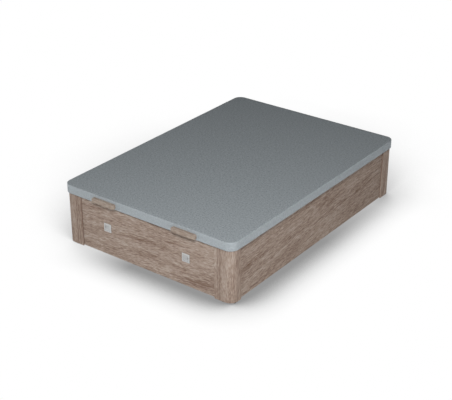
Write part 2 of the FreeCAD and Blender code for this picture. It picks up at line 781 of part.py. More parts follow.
def right_lid_bracket_bolts():
    half = PLATE_BOLT_SPACING / 2
    inside = lid_plate_side - STRUT_PLATE
    return [headed_bolt(Vector(inside, lid_pivot.y + side, lid_bolt_height), X_AXIS, PLATE_BOLT_RADIUS,
                        STRUT_PLATE + PLATE_BOLT_REACH, PLATE_BOLT_HEAD_RADIUS, PLATE_BOLT_HEAD_HEIGHT)
            for side in (-half, half)]


def lid_pivot_bolt():
    return pivot_bolt(lid_pivot, lid_plate_side)


def build():
    """Every piece by name. Screwed pieces are drilled with their own screws."""
    pieces = {}

    corners = right_corners()
    brackets = []
    corner_screws = []
    for corner in corners:
        for z in bracket_heights():
            brackets.append(corner_bracket(*corner, z))
            corner_screws += bracket_screws(*corner, z)
    corner_screws = both_sides(corner_screws)
    cleat_fixings = cleat_screws()
    strut_screws = both_sides(right_base_bracket_screws())
    base_hinge_screws = hinge_base_screws()
    box_screws = corner_screws + cleat_fixings + strut_screws + base_hinge_screws

    pieces["foot_panel"] = foot_panel().cut(box_screws)
    pieces["head_panel"] = head_panel().cut(box_screws)
    pieces["right_side_panel"] = right_side_panel().cut(box_screws)
    pieces["left_side_panel"] = mirrored(pieces["right_side_panel"])
    for name, corner in zip(("foot", "head"), corners):
        pieces[name + "_right_post"] = corner_post(*corner).cut(corner_screws)
        pieces[name + "_left_post"] = mirrored(pieces[name + "_right_post"])
    pieces["post_glides"] = post_glides()
    pieces["corner_brackets"] = [bracket.cut(corner_screws) for bracket in both_sides(brackets)]
    pieces["corner_screws"] = corner_screws
    pieces["lid_bumpers"] = bumpers()

    pieces["right_floor_cleat"] = side_cleat().cut(cleat_fixings)
    pieces["left_floor_cleat"] = mirrored(pieces["right_floor_cleat"])
    pieces["foot_floor_cleat"] = end_cleat(inner_foot, inner_foot + CLEAT_WIDTH).cut(cleat_fixings)
    pieces["head_floor_cleat"] = end_cleat(inner_head - CLEAT_WIDTH, inner_head).cut(cleat_fixings)
    pieces["cleat_screws"] = cleat_fixings
    seams = floor_seams()
    pieces["floor_bearers"] = [bearer(y) for y in seams[1:-1]]
    pieces["bearer_feet"] = bearer_feet()
    for number, (start, end) in enumerate(zip(seams, seams[1:]), 1):
        pieces["floor_board_" + str(number)] = floor_board(start, end)

    for name, x in zip(("left", "right"), vent_places()):
        pieces[name + "_vent_frame"] = vent_frame(x)
    pieces["right_vent_grille"] = right_vent_grille(vent_places()[-1])
    pieces["left_vent_grille"] = mirrored(pieces["right_vent_grille"])

    lid_hinge_screws = hinge_lid_screws()
    handle_bolts = handle_screws()
    lid_bolts = both_sides(right_lid_bracket_bolts())
    pieces["lid_cover"] = lid_cover().cut(lid_hinge_screws + handle_bolts)
    pieces["lid_pad"] = lid_layer(board_top, pad_top)
    pieces["lid_board"] = lid_layer(rail_top, board_top)
    pieces["right_rail"] = right_rail().cut(lid_bolts)
    pieces["left_rail"] = mirrored(pieces["right_rail"])
    pieces["foot_rail"] = end_rail(frame_foot, rail_foot).cut(handle_bolts)
    pieces["head_rail"] = end_rail(rail_head, frame_head).cut(lid_hinge_screws)
    pieces["rail_corners"] = rail_corners()
    pieces["cross_rails"] = cross_rails()
    for name, x in zip(("left", "right"), handle_places()):
        pieces[name + "_handle"] = handle(x).cut(handle_bolts)
    pieces["handle_screws"] = handle_bolts

    pieces["hinge_base_leaves"] = [base_leaf(x).cut(base_hinge_screws) for x in hinge_places()]
    pieces["hinge_base_screws"] = base_hinge_screws
    pieces["hinge_lid_leaves"] = [lid_leaf(x).cut(lid_hinge_screws) for x in hinge_places()]
    pieces["hinge_lid_screws"] = lid_hinge_screws
    pieces["hinge_pins"] = hinge_pins()

    pieces["strut_base_brackets"] = both_sides([strut_base_bracket()])
    pieces["strut_base_screws"] = strut_screws
    pieces["base_pivot_bolts"] = both_sides([base_pivot_bolt()])
    pieces["strut_lid_brackets"] = both_sides([strut_lid_bracket()])
    pieces["strut_lid_bolts"] = lid_bolts
    pieces["lid_pivot_bolts"] = both_sides([lid_pivot_bolt()])
    strut = {"cylinder": strut_cylinder, "gland": strut_gland, "rod": strut_rod, "piston": strut_piston}
    for name, make in strut.items():
        pieces["right_strut_" + name] = make()
        pieces["left_strut_" + name] = mirrored(pieces["right_strut_" + name])
    return pieces


def main():
    os.makedirs("parts", exist_ok=True)
    for name, piece in build().items():
        shape = Part.makeCompound(piece) if isinstance(piece, list) else piece
        shape.exportStep("parts/" + name + ".step")
    print("strut closed", round(closed_length, 1), "open", round(open_length, 1))
    print("hinge line", round(hinge_y, 2), round(hinge_z, 2))
    print("base pivot", base_pivot, "lid pivot", lid_pivot)


main()
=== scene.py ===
import json
import math

import bpy
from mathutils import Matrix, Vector


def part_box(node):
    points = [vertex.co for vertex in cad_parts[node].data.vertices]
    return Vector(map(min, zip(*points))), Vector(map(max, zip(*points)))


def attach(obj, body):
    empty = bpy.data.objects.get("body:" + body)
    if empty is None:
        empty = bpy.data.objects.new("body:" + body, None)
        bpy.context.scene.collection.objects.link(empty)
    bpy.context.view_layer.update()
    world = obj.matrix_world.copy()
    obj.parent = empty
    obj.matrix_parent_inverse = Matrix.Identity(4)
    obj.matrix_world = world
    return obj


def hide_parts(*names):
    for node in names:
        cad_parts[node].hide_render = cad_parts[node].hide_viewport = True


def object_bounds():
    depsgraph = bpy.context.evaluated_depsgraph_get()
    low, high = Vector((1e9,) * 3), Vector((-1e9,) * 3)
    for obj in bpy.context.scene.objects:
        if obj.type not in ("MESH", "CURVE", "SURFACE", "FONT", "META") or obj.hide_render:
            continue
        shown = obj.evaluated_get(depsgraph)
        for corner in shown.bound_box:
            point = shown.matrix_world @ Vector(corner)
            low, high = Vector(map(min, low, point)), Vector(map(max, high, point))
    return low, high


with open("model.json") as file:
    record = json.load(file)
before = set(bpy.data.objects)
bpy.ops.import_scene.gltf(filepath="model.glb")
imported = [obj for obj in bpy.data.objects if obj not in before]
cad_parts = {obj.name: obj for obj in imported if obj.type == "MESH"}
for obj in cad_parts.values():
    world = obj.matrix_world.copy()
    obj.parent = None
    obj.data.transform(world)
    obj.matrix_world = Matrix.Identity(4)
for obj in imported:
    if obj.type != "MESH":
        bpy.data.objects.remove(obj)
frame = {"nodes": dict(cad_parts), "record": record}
cad_low, cad_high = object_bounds()

# Looks of the ottoman bed: a taut mesh cover over the lid, grey oak on the box, metal fittings.
# Metres, in the frame of the construction model: X across, +Y to the head end, +Z up.
# Colours of finishes are screen values from 0 to 255.

# Camera, at the photograph's viewing angle
CAMERA_AIM = Vector((0.063, -0.188, 0.2161))
CAMERA_AZIMUTH = 36.88
CAMERA_ELEVATION = 26.96
CAMERA_DISTANCE = 7.085
CAMERA_FOCAL_MM = 85.29
CAMERA_SENSOR_MM = 36.0

# Lamps, with their power in watts: one over the near corner, and low strips given as (x, y), power
KEY_PLACE = Vector((2.3, -3.9, 4.0))
KEY_SIZE = 1.2
KEY_POWER = 244.0
STRIP_HEIGHT = 0.36
STRIP_LENGTH = 3.0
STRIPS = [((-3.2, -1.8), 37.0), ((3.9, -0.8), 28.0), ((0.0, 4.2), 90.0)]
WORLD_LEVEL = 0.02
WHITE = (1.0, 1.0, 1.0, 1.0)

# Floor
FLOOR_HALF = 30.0
FLOOR_CORNERS = [(-1, -1), (1, -1), (1, 1), (-1, 1)]
FLOOR_ALBEDO = 0.85
SHADE_SAMPLES = 32

# Shade close to the box: (openness, level of the floor), and fades at two corners: (reach, least share)
CLOSE_REACH = 0.34
CLOSE_LEAN = (-0.3, 0.3, 0.0)
CLOSE_LEVELS = [(0.48, 0.3), (0.52, 0.37), (0.57, 0.46), (0.61, 0.54), (0.66, 0.66), (0.72, 0.77),
                (0.79, 0.88), (0.89, 0.96), (0.96, 1.0)]
FOOT_CORNER_FADE = (0.55, 0.05)
HEAD_CORNER_FADE = (0.9, 0.6)

# Wide shade on the far sides of the box: from a range of blocked space to a range of depth
CAST_REACH = 1.4
CAST_LEAN = (0.5, -0.85, 0.0)
CAST_BLOCKED = (0.09, 0.28)
CAST_DEPTH = (0.0, 0.31)
CAST_FADE = 0.25

# Noise runs from 0 to 1 about its middle, and is mostly within its main range
NOISE_MIDDLE = 0.5
NOISE_MAIN = (0.3, 0.7)

# Direction of the grain: the axes with the grain's own first, and a shift of the pattern for each
GRAIN_ORDERS = {"X": "XYZ", "Y": "YXZ", "Z": "ZXY"}
GRAIN_SHIFTS = {"X": (1.42, 0.74, 0.13), "Y": (0.15, 0.38, 1.86), "Z": (1.6, 1.37, 1.07)}
GRAIN_SLANT = 0.08
GRAIN_WANDER = 0.03
GRAIN_WANDER_CELLS = (1.6, 6.0, 6.0)

# Layers of the grain, in cells to the metre along it and across it
GRAIN_LAYERS = {
    "bands": {"along": 2.2, "across": 22.0},
    "flecks": {"along": 18.0, "across": 150.0, "roughness": 0.6},
    "specks": {"along": 40.0, "across": 260.0},
    "fibres": {"along": 25.0, "across": 620.0, "roughness": 0.6},
    "pores": {"along": 70.0, "across": 1500.0, "detail": 1.0},
    "veins": {"along": 1.3, "across": 28.0, "detail": 3.0, "roughness": 0.6},
}
WOOD_WEIGHTS = {"bands": 0.6, "flecks": 0.95, "specks": 0.9, "fibres": 0.35}
POST_WEIGHTS = {"bands": 0.6, "flecks": 0.74, "specks": 0.74, "fibres": 0.35}
WOOD_VEINING = 0.75
POST_VEINING = 0.4
VEIN_RANGE = (-0.065, -0.19)
VEIN_FLECKS = 0.25
PORE_RANGE = (0.1, 0.2)
PORE_SHADE = 0.1
FIBRE_RANGE = (-0.2, 0.2)

# Finish of the woods, and their tones: dark, middle and light grain, and streaks, a tone that also colours
# the painted shade in crevices
WOOD_SPECULAR = 0.05
WOOD_ROUGHNESS = (0.7, 0.6)
WOOD_BUMP = {"depth": 0.0002, "strength": 0.6}
WOOD_EDGE = 0.0012
TONE_PLACES = (0.2, 0.5, 0.8)
OAK_TONES = [(126, 106, 94), (156, 139, 127), (182, 169, 158), (112, 87, 74)]
HANDLE_TONES = [(140, 123, 111), (162, 148, 136), (180, 168, 156), (154, 139, 127)]
PINE_TONES = [(176, 134, 86), (204, 168, 120), (224, 196, 154), (160, 112, 66)]
LAMINATE_TONES = [(186, 179, 170), (198, 192, 184), (208, 203, 196), (176, 167, 156)]
# Painted light and shade on the panels: screen values added to the oak's tones, lighter at the ends, darker
# along the sides
END_PANEL_PAINTED_LIGHT = 3
SIDE_PANEL_PAINTED_SHADE = -5
LENGTHWISE_BOARDS = ("left_side_panel", "right_side_panel", "left_floor_cleat", "right_floor_cleat")

# Painted shade in crevices, grooves and joints, darker where little open space is over the surface, and soft
# edges
CREVICE_REACH = 0.01
CREVICE_RANGE = (0.5, 0.97)
CREVICE_SHADE = 0.7
CREVICE_SAMPLES = 8
EDGE_SAMPLES = 4

# Fibre board
BOARD_FINISH = {"Roughness": 0.75, "Specular_IOR_Level": 0.25}
BOARD_CHIPS = {"scale": 900.0, "detail": 3.0, "roughness": 0.7}
BOARD_CLOUDS = {"scale": 14.0}
BOARD_WEIGHTS = (0.6, 0.4)
BOARD_TONES = [(0.3, (128, 98, 66)), (0.5, (158, 128, 94)), (0.7, (184, 156, 122))]
BOARD_BUMP = {"depth": 0.0002, "strength": 0.5}

# Mesh cloth: a honeycomb of three crossing waves with painted shade in its openings, a heather in the yarn,
# stronger where the cloth faces up
MESH_FINISH = {"Roughness": 0.88, "Specular_IOR_Level": 0.08, "Sheen_Weight": 0.01, "Sheen_Roughness": 0.4}
WEAVE_PITCH = 0.0042
WEAVE_ANGLE = 60
WEAVE_WAVES = 3
WEAVE_RANGE = (-1.5, 2.6)
WEAVE_SHADE_WEIGHT = 0.3
HEATHER = {"scale": 100.0, "roughness": 0.6}
HEATHER_RIM = 0.63
HEATHER_TOP = 1.35
HEATHER_FACING = (0.2, 0.8)
HEATHER_LEVEL = 0.45
YARN = {"scale": 1900.0}
YARN_WEIGHT = 0.25
MESH_TONES = [(0.1, (110, 118, 122)), (0.6, (161, 168, 172)), (0.95, (181, 188, 192))]
MESH_BUMP = {"depth": 0.0005, "strength": 0.5}

# Foam
FOAM_FINISH = {"Roughness": 0.95, "Specular_IOR_Level": 0.1}
FOAM_CELLS = 700.0
FOAM_TONES = [(0.0, (190, 182, 162)), (0.6, (224, 218, 203))]
FOAM_BUMP = {"depth": 0.0004, "strength": 0.6}

# Zinc plate
ZINC_CRYSTALS = {"scale": 160.0, "detail": 3.0, "roughness": 0.6}
ZINC_SCRATCHES = (60.0, 60.0, 1600.0)
ZINC_TONES = [(0.3, (108, 111, 115)), (0.7, (138, 141, 145))]
ZINC_ROUGHNESS = (0.58, 0.46)
ZINC_BUMP = {"depth": 0.00008, "strength": 0.4}

# Satin metal of the vents, with painted shade in its slots
VENT_METALLIC = 0.35
VENT_BRUSHING = (90.0, 90.0, 3000.0)
VENT_BRUSHING_DETAIL = 3.0
VENT_TONES = [(0.3, (187, 188, 188)), (0.7, (203, 203, 202))]
VENT_ROUGHNESS = (0.5, 0.4)
VENT_BUMP = {"depth": 0.00005, "strength": 0.5}
VENT_EDGE = 0.0006
VENT_SHADE_REACH = 0.008
VENT_SHADE_RANGE = (0.3, 0.85)
VENT_SHADE = 0.55
VENT_PAINTED_SHADE_COLOUR = (52, 52, 53)

# Chrome
CHROME_LINES = (20.0, 2500.0, 2500.0)
CHROME_TONES = [(0.3, (212, 214, 217)), (0.7, (228, 230, 232))]
CHROME_ROUGHNESS = (0.08, 0.16)

# Dark coats, plastics and rubber: colour, roughness, pebbles to the metre and their depth
COATS = {
    "black_steel": ((34, 34, 36), 0.45, 1400.0, 0.00008),
    "strut_black": ((26, 26, 28), 0.32, 2200.0, 0.00004),
    "strut_seal": ((34, 34, 34), 0.6, 1800.0, 0.00006),
    "glide_plastic": ((34, 34, 34), 0.6, 1500.0, 0.0001),
    "bumper_rubber": ((26, 26, 26), 0.8, 1200.0, 0.0001),
}
COAT_SPECULAR = 0.4
COAT_CLOUDS = {"scale": 35.0}
COAT_CLOUD_RANGE = (0.35, 0.65)
COAT_PALER = 14
COAT_ROUGHNESS_SPREAD = 0.06
COAT_BUMP_STRENGTH = 0.5

# Cover and pad of the lid
LID_CORNER_RADIUS = 0.06
COVER_TOP_RADIUS = 0.003
COVER_FOOT_RADIUS = 0.003
COVER_CROWN = 0.0012
COVER_THICKNESS = 0.0015
COVER_CLEARANCE = 0.0004
CROWN_SHARES = (0.04, 0.12, 0.25, 0.45, 0.7, 0.92)
CORNER_STEPS = 14
SIDE_STEPS = 40
ROUND_STEPS = 6
HEM_STEPS = 4
SAME_DIRECTION = 1e-6

# Slight unevenness of the cover: its height, and waves in radians to the metre
RIPPLE_HEIGHT = 0.0003
RIPPLE_ACROSS = 9.0
RIPPLE_ALONG = 7.0
RIPPLE_DOWN = 40.0
RIPPLE_SLANTWISE = 23.0


# Shader nodes in short form


def linear(colour):
    """A colour given in screen values, as the shader takes it."""
    parts = [value / 255 for value in colour]
    return [p / 12.92 if p <= 0.04045 else ((p + 0.055) / 1.055) ** 2.4 for p in parts] + [1.0]


def add_node(tree, kind, inputs=None, **settings):
    """A new node with its settings, and its inputs set or linked. Returns its outputs."""
    made = tree.nodes.new("ShaderNode" + kind)
    for name, value in settings.items():
        setattr(made, name, value)
    for name, value in (inputs or {}).items():
        if isinstance(value, bpy.types.NodeSocket):
            tree.links.new(value, made.inputs[name])
        else:
            made.inputs[name].default_value = value
    return made.outputs


def maths(tree, operation, *values):
    """Maths on numbers."""
    return add_node(tree, "Math", dict(enumerate(values)), operation=operation)[0]


def vectors(tree, operation, *values):
    """Vector maths. The first output is the vector, and the one named Value is the number."""
    return add_node(tree, "VectorMath", dict(enumerate(values)), operation=operation)


def weighed(tree, start, parts):
    """A start value plus the product of each (value, weight) pair."""
    total = start
    for value, weight in parts:
        total = maths(tree, "ADD", maths(tree, "MULTIPLY", value, weight), total)
    return total


def between(tree, value, low, high, to_low=0.0, to_high=1.0):
    """Maps a range of values onto another, and holds it there."""
    return add_node(tree, "MapRange", {0: value, 1: low, 2: high, 3: to_low, 4: to_high})[0]


def noise_node(tree, vector, scale=1.0, detail=2.0, roughness=0.5):
    """Noise from 0 to 1. The first output is a number, and the one named Color is three of them."""
    inputs = {"Vector": vector, "Scale": scale, "Detail": detail, "Roughness": roughness}
    return add_node(tree, "TexNoise", inputs)


def noise(tree, vector, **sizes):
    """Noise as a number."""
    return noise_node(tree, vector, **sizes)[0]


def centred_noise(tree, vector, **sizes):
    """Noise about zero."""
    return maths(tree, "SUBTRACT", noise(tree, vector, **sizes), NOISE_MIDDLE)


def stretched_noise(tree, cells, **sizes):
    """Noise with its own count of cells to the metre along each axis."""
    return noise(tree, vectors(tree, "MULTIPLY", object_place(tree), cells)[0], **sizes)


def ramp(tree, value, stops):
    """A smooth run of colours, from (place, colour) pairs."""
    made = tree.nodes.new("ShaderNodeValToRGB")
    tree.links.new(value, made.inputs[0])
    elements = made.color_ramp.elements
    while len(elements) < len(stops):
        elements.new(1.0)
    for element, (place, colour) in zip(elements, stops):
        element.position = place
        element.color = colour
    return made.outputs[0]


def toned(tree, value, tones):
    """A run of colours given in screen values."""
    return ramp(tree, value, [(place, linear(colour)) for place, colour in tones])


def mixed(tree, share, first, second):
    """Two colours mixed by a share. The node takes colours in sockets 6 and 7, and gives one in output 2."""
    return add_node(tree, "Mix", {0: share, 6: first, 7: second}, data_type="RGBA")[2]


def bumped(tree, height, depth, strength, normal=None):
    """A normal that follows a fine relief."""
    inputs = {"Height": height, "Distance": depth, "Strength": strength}
    if normal is not None:
        inputs["Normal"] = normal
    return add_node(tree, "Bump", inputs)[0]


def soft_edges(tree, radius):
    """A normal that rounds sharp edges."""
    return add_node(tree, "Bevel", {"Radius": radius}, samples=EDGE_SAMPLES)[0]


def openness(tree, reach, samples, aim=None):
    """How open the space over a surface is within a reach, along its normal or another aim."""
    inputs = {"Distance": reach}
    if aim is not None:
        inputs["Normal"] = aim
    return add_node(tree, "AmbientOcclusion", inputs, samples=samples)["AO"]


def object_place(tree):
    """The place on the object, in metres."""
    return add_node(tree, "TexCoord")["Object"]


def new_material(name, **values):
    """A material, its node tree and its main shader, with plain values set on the shader."""
    material = bpy.data.materials.new(name)
    material.use_nodes = True
    shader = material.node_tree.nodes["Principled BSDF"]
    for socket, value in values.items():
        shader.inputs[socket.replace("_", " ")].default_value = value
    return material, material.node_tree, shader


def wire(tree, shader, **values):
    """Links values to the sockets of the main shader."""
    for socket, value in values.items():
        tree.links.new(value, shader.inputs[socket.replace("_", " ")])


# Woods


def grain_place(tree, along):
    """Object coordinates with the grain's direction first, and the grain's slant and slow wander."""
    split = add_node(tree, "SeparateXYZ", {0: object_place(tree)})
    ordered = add_node(tree, "CombineXYZ", dict(enumerate(split[axis] for axis in GRAIN_ORDERS[along])))[0]
    straight = vectors(tree, "ADD", ordered, GRAIN_SHIFTS[along])[0]
    drift = noise_node(tree, vectors(tree, "MULTIPLY", straight, GRAIN_WANDER_CELLS)[0])["Color"]
    centred = vectors(tree, "SUBTRACT", drift, (NOISE_MIDDLE, NOISE_MIDDLE, NOISE_MIDDLE))[0]
    sway = vectors(tree, "MULTIPLY", centred, (0.0, GRAIN_WANDER, GRAIN_WANDER))[0]
    slant = add_node(tree, "CombineXYZ", {2: maths(tree, "MULTIPLY", split[along], -GRAIN_SLANT)})[0]
    leaning = vectors(tree, "ADD", straight, slant)[0]
    return vectors(tree, "ADD", leaning, sway)[0]


def grain_layer(tree, place, along, across, **sizes):
    """Noise about zero, drawn out along the grain: cells to the metre along it and across it."""
    return centred_noise(tree, vectors(tree, "MULTIPLY", place, (along, across, across))[0], **sizes)


def grain_colour(tree, layers, pits, tones, weights, veining):
    """The grain's tones, with dark streaks along its veins, and painted shade in crevices in the streak
    tone.
    """
    *plain_tones, streak_and_shade = [linear(tone) for tone in tones]
    parts = [(layers[name], weight) for name, weight in weights.items()]
    tone = weighed(tree, NOISE_MIDDLE, parts + [(pits, -PORE_SHADE)])
    plain = ramp(tree, tone, list(zip(TONE_PLACES, plain_tones)))
    broken = weighed(tree, layers["veins"], [(layers["flecks"], VEIN_FLECKS)])
    veined = mixed(tree, between(tree, broken, *VEIN_RANGE, 0.0, veining), plain, streak_and_shade)
    # Painted shade: the colour turns to the streak tone where little open space is over the surface.
    hollow = openness(tree, CREVICE_REACH, CREVICE_SAMPLES)
    return mixed(tree, between(tree, hollow, *CREVICE_RANGE, CREVICE_SHADE, 0.0), veined, streak_and_shade)


def wood(name, along, tones, weights=WOOD_WEIGHTS, veining=WOOD_VEINING):
    """Grained wood: broad bands, short flecks, fine fibres, dark streaks, open pores, and painted shade in
    crevices.
    """
    material, tree, shader = new_material(name, Specular_IOR_Level=WOOD_SPECULAR)
    place = grain_place(tree, along)
    layers = {layer: grain_layer(tree, place, **sizes) for layer, sizes in GRAIN_LAYERS.items()}
    fibres = layers["fibres"]
    pits = between(tree, layers["pores"], *PORE_RANGE)
    height = maths(tree, "SUBTRACT", fibres, pits)
    wire(tree, shader,
         Base_Color=grain_colour(tree, layers, pits, tones, weights, veining),
         Roughness=between(tree, fibres, *FIBRE_RANGE, *WOOD_ROUGHNESS),
         Normal=bumped(tree, height, normal=soft_edges(tree, WOOD_EDGE), **WOOD_BUMP))
    return material


def panel_oak(name, along, painted_lift):
    """The oak of the box's panels, with painted light and shade in its tone: lighter on the end panels,
    darker on the side panels.
    """
    return wood(name, along, [[value + painted_lift for value in tone] for tone in OAK_TONES])


def post_oak():
    """The oak of the corner posts, with a calmer grain that stands upright."""
    return wood("grey_oak_upright", "Z", OAK_TONES, POST_WEIGHTS, POST_VEINING)


def fibre_board():
    """Brown board of pressed fibres."""
    material, tree, shader = new_material("fibre_board", **BOARD_FINISH)
    place = object_place(tree)
    chips = noise(tree, place, **BOARD_CHIPS)
    clouds = noise(tree, place, **BOARD_CLOUDS)
    tone = weighed(tree, 0.0, zip((chips, clouds), BOARD_WEIGHTS))
    wire(tree, shader,
         Base_Color=toned(tree, tone, BOARD_TONES),
         Normal=bumped(tree, chips, **BOARD_BUMP))
    return material


# Cloth and foam


def weave_height(tree):
    """A honeycomb of small openings, from three crossing waves over the flat cloth."""
    flat = add_node(tree, "UVMap", uv_map="flat")[0]
    wave = 2 * math.pi / (WEAVE_PITCH * math.sin(math.radians(WEAVE_ANGLE)))
    total = 0.0
    for turn in range(WEAVE_WAVES):
        angle = math.radians(turn * WEAVE_ANGLE)
        direction = (math.cos(angle) * wave, math.sin(angle) * wave, 0.0)
        phase = vectors(tree, "DOT_PRODUCT", flat, direction)["Value"]
        total = maths(tree, "ADD", maths(tree, "COSINE", phase), total)
    return between(tree, total, *WEAVE_RANGE, 1.0, 0.0)


def mesh_fabric():
    """Grey three-dimensional mesh: knitted cells with painted shade in their openings, a fine heather in the
    yarn, a soft sheen.
    """
    material, tree, shader = new_material("mesh_fabric", **MESH_FINISH)
    cells = weave_height(tree)
    place = object_place(tree)
    facing_up = add_node(tree, "SeparateXYZ", {0: add_node(tree, "TexCoord")["Normal"]})["Z"]
    heather_weight = between(tree, facing_up, *HEATHER_FACING, HEATHER_RIM, HEATHER_TOP)
    heather = centred_noise(tree, place, **HEATHER)
    yarn = centred_noise(tree, place, **YARN)
    # The cells darken the colour in the openings of the knit: painted shade in its recesses.
    parts = [(heather, heather_weight), (cells, WEAVE_SHADE_WEIGHT), (yarn, YARN_WEIGHT)]
    wire(tree, shader,
         Base_Color=toned(tree, weighed(tree, HEATHER_LEVEL, parts), MESH_TONES),
         Normal=bumped(tree, maths(tree, "ADD", cells, yarn), **MESH_BUMP))
    return material


def foam():
    """Pale open-cell foam."""
    material, tree, shader = new_material("foam", **FOAM_FINISH)
    cells = add_node(tree, "TexVoronoi", {"Vector": object_place(tree), "Scale": FOAM_CELLS})["Distance"]
    wire(tree, shader,
         Base_Color=toned(tree, cells, FOAM_TONES),
         Normal=bumped(tree, cells, **FOAM_BUMP))
    return material


# Metals, plastics and rubber


def plated_steel():
    """Zinc plate with the faint mottling of its crystals."""
    material, tree, shader = new_material("zinc_steel", Metallic=1.0)
    crystals = noise(tree, object_place(tree), **ZINC_CRYSTALS)
    scratches = stretched_noise(tree, ZINC_SCRATCHES)
    wire(tree, shader,
         Base_Color=toned(tree, crystals, ZINC_TONES),
         Roughness=between(tree, crystals, *NOISE_MAIN, *ZINC_ROUGHNESS),
         Normal=bumped(tree, scratches, **ZINC_BUMP))
    return material


def satin_metal():
    """Pale satin metal with fine brushing, and painted shade that darkens its slots."""
    material, tree, shader = new_material("vent_metal", Metallic=VENT_METALLIC)
    brushing = stretched_noise(tree, VENT_BRUSHING, detail=VENT_BRUSHING_DETAIL)
    # Painted shade in the slots: darker where little open space is over the surface.
    hollow = openness(tree, VENT_SHADE_REACH, CREVICE_SAMPLES)
    shade = between(tree, hollow, *VENT_SHADE_RANGE, VENT_SHADE, 0.0)
    wire(tree, shader,
         Base_Color=mixed(tree, shade, toned(tree, brushing, VENT_TONES), linear(VENT_PAINTED_SHADE_COLOUR)),
         Roughness=between(tree, brushing, *NOISE_MAIN, *VENT_ROUGHNESS),
         Normal=bumped(tree, brushing, normal=soft_edges(tree, VENT_EDGE), **VENT_BUMP))
    return material


def coated(name, colour, roughness, pebbles_to_metre, depth):
    """A dark coat or plastic with a fine pebbled surface."""
    material, tree, shader = new_material(name, Specular_IOR_Level=COAT_SPECULAR)
    pebbles = noise(tree, object_place(tree), scale=pebbles_to_metre)
    clouds = noise(tree, object_place(tree), **COAT_CLOUDS)
    paler = [value + COAT_PALER for value in colour]
    smooth = roughness - COAT_ROUGHNESS_SPREAD
    rough = roughness + COAT_ROUGHNESS_SPREAD
    wire(tree, shader,
         Base_Color=toned(tree, clouds, list(zip(COAT_CLOUD_RANGE, (colour, paler)))),
         Roughness=between(tree, pebbles, *NOISE_MAIN, smooth, rough),
         Normal=bumped(tree, pebbles, depth, COAT_BUMP_STRENGTH))
    return material


def hard_chrome():
    """Polished rod with faint lines round it."""
    material, tree, shader = new_material("strut_chrome", Metallic=1.0)
    lines = stretched_noise(tree, CHROME_LINES)
    wire(tree, shader,
         Base_Color=toned(tree, lines, CHROME_TONES),
         Roughness=between(tree, lines, *NOISE_MAIN, *CHROME_ROUGHNESS))
    return material


def make_finishes():
    """A material for each slot, with the grain of boards running across the bed."""
    finishes = {name: coated(name, *coat) for name, coat in COATS.items()}
    finishes.update({
        "grey_oak": panel_oak("grey_oak_along_X", "X", END_PANEL_PAINTED_LIGHT),
        "grey_oak_upright": post_oak(),
        "oak_handle": wood("oak_handle", "X", HANDLE_TONES),
        "mesh_fabric": mesh_fabric(),
        "foam": foam(),
        "fibre_board": fibre_board(),
        "zinc_steel": plated_steel(),
        "strut_chrome": hard_chrome(),
        "vent_metal": satin_metal(),
        "pine": wood("pine_across", "X", PINE_TONES),
        "floor_laminate": wood("floor_laminate", "X", LAMINATE_TONES),
    })
    return finishes


def make_lengthwise_finishes():
    """The materials of the boards that lie along the bed."""
    return {
        "grey_oak": panel_oak("grey_oak_along_Y", "Y", SIDE_PANEL_PAINTED_SHADE),
        "pine": wood("pine_along", "Y", PINE_TONES),
    }


def dress_nodes(finishes, lengthwise_finishes):
    """Gives each solid of the construction model its material."""
    for part in frame["record"]["subparts"]:
        choices = lengthwise_finishes if part["node"] in LENGTHWISE_BOARDS else finishes
        node_materials = frame["nodes"][part["node"]].data.materials
        node_materials.clear()
        node_materials.append(choices[part["material_slot"]])


# Lid


def rounded_outline(low, high, radius):
    """Points round a rectangle with round corners, each with its outward direction."""
    points = []
    corners = [(high.x, low.y, -90), (high.x, high.y, 0), (low.x, high.y, 90), (low.x, low.y, 180)]
    middle = (low + high) / 2
    for x, y, start in corners:
        centre = Vector((x - math.copysign(radius, x - middle.x), y - math.copysign(radius, y - middle.y)))
        for step in range(CORNER_STEPS + 1):
            angle = math.radians(start + 90 * step / CORNER_STEPS)
            outward = Vector((math.cos(angle), math.sin(angle)))
            points.append((centre + outward * radius, outward))
    return with_side_points(points)


def with_side_points(points):
    """The outline again, with points along its straight sides."""
    filled = []
    for (place, outward), (following, after) in zip(points, points[1:] + points[:1]):
        filled.append((place, outward))
        if (outward - after).length < SAME_DIRECTION:
            for step in range(1, SIDE_STEPS):
                filled.append((place.lerp(following, step / SIDE_STEPS), outward))
    return filled


def quarter_turn():
    """Pairs of (1 - sine, 1 - cosine) at even steps over a quarter turn."""
    angles = [math.radians(90 * step / ROUND_STEPS) for step in range(ROUND_STEPS + 1)]
    return [(1 - math.sin(angle), 1 - math.cos(angle)) for angle in angles]


def cover_profile(height, hem):
    """The cloth's section from the top's edge to the hem's end, as (inset, height, way along it)."""
    top, foot = COVER_TOP_RADIUS, COVER_FOOT_RADIUS
    profile = [(top * rise, height - top * drop) for rise, drop in quarter_turn()]
    for step in range(1, ROUND_STEPS):
        profile.append((0.0, foot + (height - top - foot) * (1 - step / ROUND_STEPS)))
    profile += [(foot * drop, foot * rise) for rise, drop in quarter_turn()]
    for step in range(1, HEM_STEPS + 1):
        profile.append((foot + (hem - foot) * step / HEM_STEPS, 0.0))
    return with_way(profile)


def with_way(profile):
    """The profile again, with the way along it from its start."""
    way = 0.0
    done = []
    before = profile[0]
    for inset, height in profile:
        way += math.hypot(inset - before[0], height - before[1])
        done.append((inset, height, way))
        before = (inset, height)
    return done


def ripple(place, way):
    """The slight unevenness of cloth pulled over a frame."""
    wave = math.sin(RIPPLE_ACROSS * place.x + RIPPLE_ALONG * place.y + RIPPLE_DOWN * way)
    return RIPPLE_HEIGHT * wave * math.sin(RIPPLE_SLANTWISE * (place.x - place.y))


